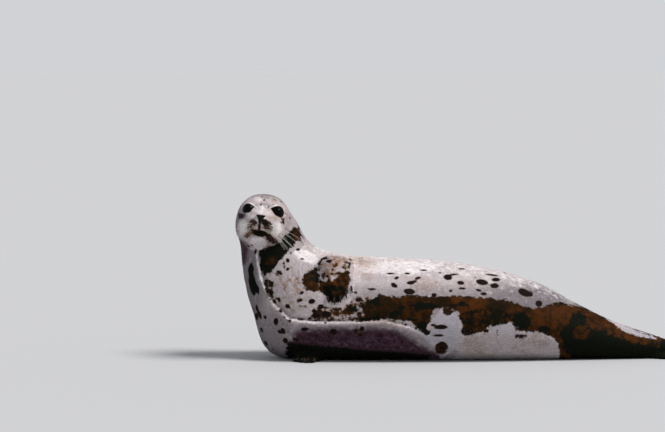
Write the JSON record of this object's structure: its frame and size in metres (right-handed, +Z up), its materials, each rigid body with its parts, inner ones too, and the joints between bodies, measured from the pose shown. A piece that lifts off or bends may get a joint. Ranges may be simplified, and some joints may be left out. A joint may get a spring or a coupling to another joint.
{
  "type": "spotted seal",
  "caption": "Life-size still model of an adult spotted seal lying on its right side with its head raised and turned, its belly to the front and its hind flippers together.",
  "frame": {"origin": "on the floor under the middle of the belly, on the flat that the belly rests on", "axes": "+X towards the tail, the head at -X; the belly and the face look along -Y; +Z up from the floor, through the left flank"},
  "size_m": [1.5957, 0.3673, 0.5071],
  "materials": {
    "coat": "short pale grey coat with dark spots",
    "dark_coat": "short dark brown to black coat, rust stained",
    "eye": "wet, all black",
    "nose_leather": "bare, moist, black",
    "claw_horn": "dark horn"
  },
  "bodies": {
    "root": {"head": "coat", "neck": "coat", "chest": "coat", "belly": "coat", "hindquarters": "dark_coat", "tail": "dark_coat", "fore_flipper_left": "dark_coat", "fore_flipper_right": "dark_coat", "hind_flipper_left": "dark_coat", "hind_flipper_right": "dark_coat", "eye_left": "eye", "eye_right": "eye", "nose": "nose_leather", "fore_claw_left_1": "claw_horn", "fore_claw_left_2": "claw_horn", "fore_claw_left_3": "claw_horn", "fore_claw_left_4": "claw_horn", "fore_claw_left_5": "claw_horn", "fore_claw_right_1": "claw_horn", "fore_claw_right_2": "claw_horn", "fore_claw_right_3": "claw_horn", "fore_claw_right_4": "claw_horn", "fore_claw_right_5": "claw_horn", "hind_claw_left_1": "claw_horn", "hind_claw_left_2": "claw_horn", "hind_claw_left_3": "claw_horn", "hind_claw_left_4": "claw_horn", "hind_claw_left_5": "claw_horn", "hind_claw_right_1": "claw_horn", "hind_claw_right_2": "claw_horn", "hind_claw_right_3": "claw_horn", "hind_claw_right_4": "claw_horn", "hind_claw_right_5": "claw_horn"}
  },
  "joints": []
}
